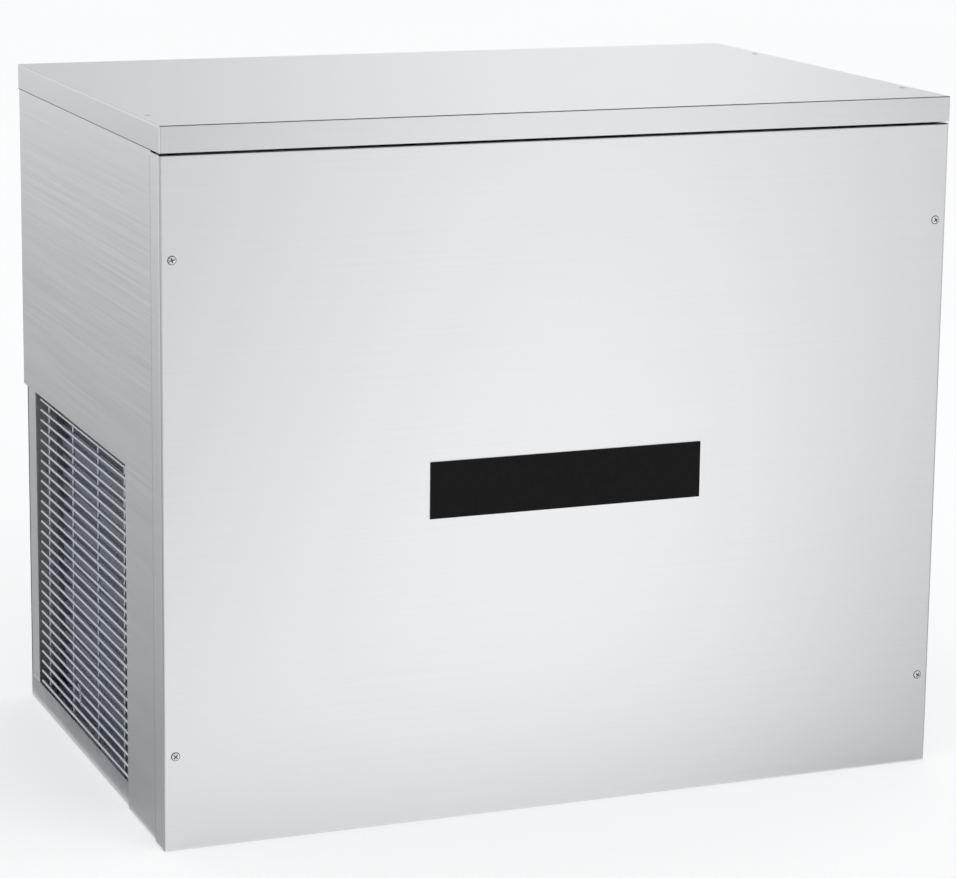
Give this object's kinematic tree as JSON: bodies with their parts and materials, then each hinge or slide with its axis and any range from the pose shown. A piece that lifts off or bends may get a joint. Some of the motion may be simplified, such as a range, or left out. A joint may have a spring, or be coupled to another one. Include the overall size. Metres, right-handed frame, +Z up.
{
  "type": "ice machine",
  "caption": "Air-cooled commercial ice machine head: stainless cabinet with a black front plate and a wire air guard low on the left side.",
  "frame": {"origin": "middle of the footprint, on the surface that the cabinet stands on", "axes": "+X to the machine's right seen from the front (the long side), +Y to the rear (the short side), +Z up; the front faces -Y"},
  "size_m": [0.862, 0.563, 0.729],
  "materials": {
    "stainless": "brushed",
    "galvanised": "satin",
    "wire": "bright zinc",
    "black_plate": "matte",
    "aluminium_fins": "matte",
    "aluminium": "satin",
    "black_paint": "satin",
    "motor_metal": "satin",
    "copper": "bright copper",
    "brass": "satin",
    "nickel": "bright tin",
    "rubber": "matte",
    "white_plastic": "matte",
    "grey_plastic": "matte",
    "clear_hose": "glossy",
    "board_green": "satin"
  },
  "bodies": {
    "cabinet": {"base_pan": "galvanised", "front_left_post": "galvanised", "front_right_post": "galvanised", "rear_left_post": "galvanised", "rear_right_post": "galvanised", "top_frame": "galvanised", "side_cross_rail": "galvanised", "top_cover": "stainless", "front_panel": "stainless", "left_side_panel": "stainless", "right_side_panel": "stainless", "rear_panel": "galvanised", "label_plate": "black_plate", "front_panel_screws": "stainless", "air_guard": "wire", "partition_wall": "galvanised", "condenser_core": "aluminium_fins", "condenser_headers": "aluminium", "condenser_frame": "galvanised", "fan_shroud": "galvanised", "fan_motor": "motor_metal", "fan_motor_bracket": "galvanised", "compressor": "black_paint", "compressor_mounts": "rubber", "compressor_nuts": "galvanised", "compressor_terminal_cover": "grey_plastic", "discharge_line": "copper", "suction_line": "copper", "liquid_line": "copper", "hot_gas_line": "copper", "filter_drier": "copper", "expansion_valve": "brass", "hot_gas_valve": "brass", "control_box": "galvanised", "control_board": "board_green", "mode_switch_body": "grey_plastic", "cable_grommet": "rubber", "water_inlet_valve": "white_plastic", "fill_hose": "clear_hose", "chamber_liner": "white_plastic", "chamber_front_cover": "white_plastic", "chamber_top_cover": "white_plastic", "evaporator_plates": "nickel", "evaporator_coil": "copper", "evaporator_brackets": "white_plastic", "water_distributor": "white_plastic", "cube_guide": "white_plastic", "water_tank": "white_plastic", "drain_fitting": "white_plastic", "pump_motor": "motor_metal", "pump_housing": "grey_plastic", "pump_hose": "clear_hose", "float_stem": "white_plastic", "bin_switch": "grey_plastic"},
    "fan": {"fan_blade": "aluminium"},
    "pump_shaft": {"pump_rotor": "nickel"},
    "water_float": {"float": "white_plastic"},
    "paddle": {"bin_paddle": "white_plastic"},
    "switch_lever": {"mode_switch_lever": "nickel"}
  },
  "joints": [
    {"name": "fan_spin", "type": "hinge", "parent": "cabinet", "child": "fan", "pos_m": [-0.303, 0.08, 0.1862], "axis": [1, 0, 0], "continuous": true},
    {"name": "pump_spin", "type": "hinge", "parent": "cabinet", "child": "pump_shaft", "pos_m": [-0.045, 0.19, 0.05], "axis": [0, 0, 1], "continuous": true},
    {"name": "float_slide", "type": "slide", "parent": "cabinet", "child": "water_float", "axis": [0, 0, 1], "range_m": [0, 0.018]},
    {"name": "paddle_swing", "type": "hinge", "parent": "cabinet", "child": "paddle", "pos_m": [0, -0.07, 0.15], "axis": [1, 0, 0], "range_deg": [-25, 25]},
    {"name": "switch_tilt", "type": "hinge", "parent": "cabinet", "child": "switch_lever", "pos_m": [-0.2, -0.26, 0.443], "axis": [1, 0, 0], "range_deg": [-12, 12]}
  ]
}
